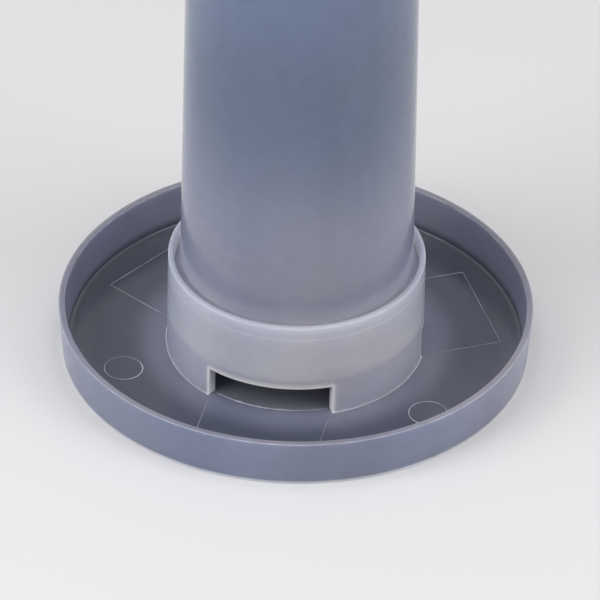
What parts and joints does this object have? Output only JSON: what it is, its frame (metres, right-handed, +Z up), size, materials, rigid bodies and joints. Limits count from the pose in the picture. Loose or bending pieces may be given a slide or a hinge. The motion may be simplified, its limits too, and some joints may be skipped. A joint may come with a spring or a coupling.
{
  "type": "poultry waterer fount",
  "caption": "Vacuum drinker for chicks: an upside-down plastic jar standing in the collar of a round shallow tray, with water outlets through the collar's foot.",
  "frame": {"origin": "centre of the tray's flat underside, on the common axis of tray and jar", "axes": "+Z up along the axis towards the jar's closed end; -Y out through the middle of one of the three water outlets"},
  "size_m": [0.2, 0.2, 0.235],
  "materials": {
    "tray_polypropylene": "natural translucent polypropylene, satin",
    "jar_polypropylene": "natural translucent polypropylene, smooth"
  },
  "bodies": {
    "tray": {"drinker_tray": "tray_polypropylene"},
    "jar": {"fount_jar": "jar_polypropylene"}
  },
  "joints": [
    {"name": "jar_lift", "type": "slide", "parent": "tray", "child": "jar", "axis": [0, 0, 1], "range_m": [0, 0.04]}
  ]
}
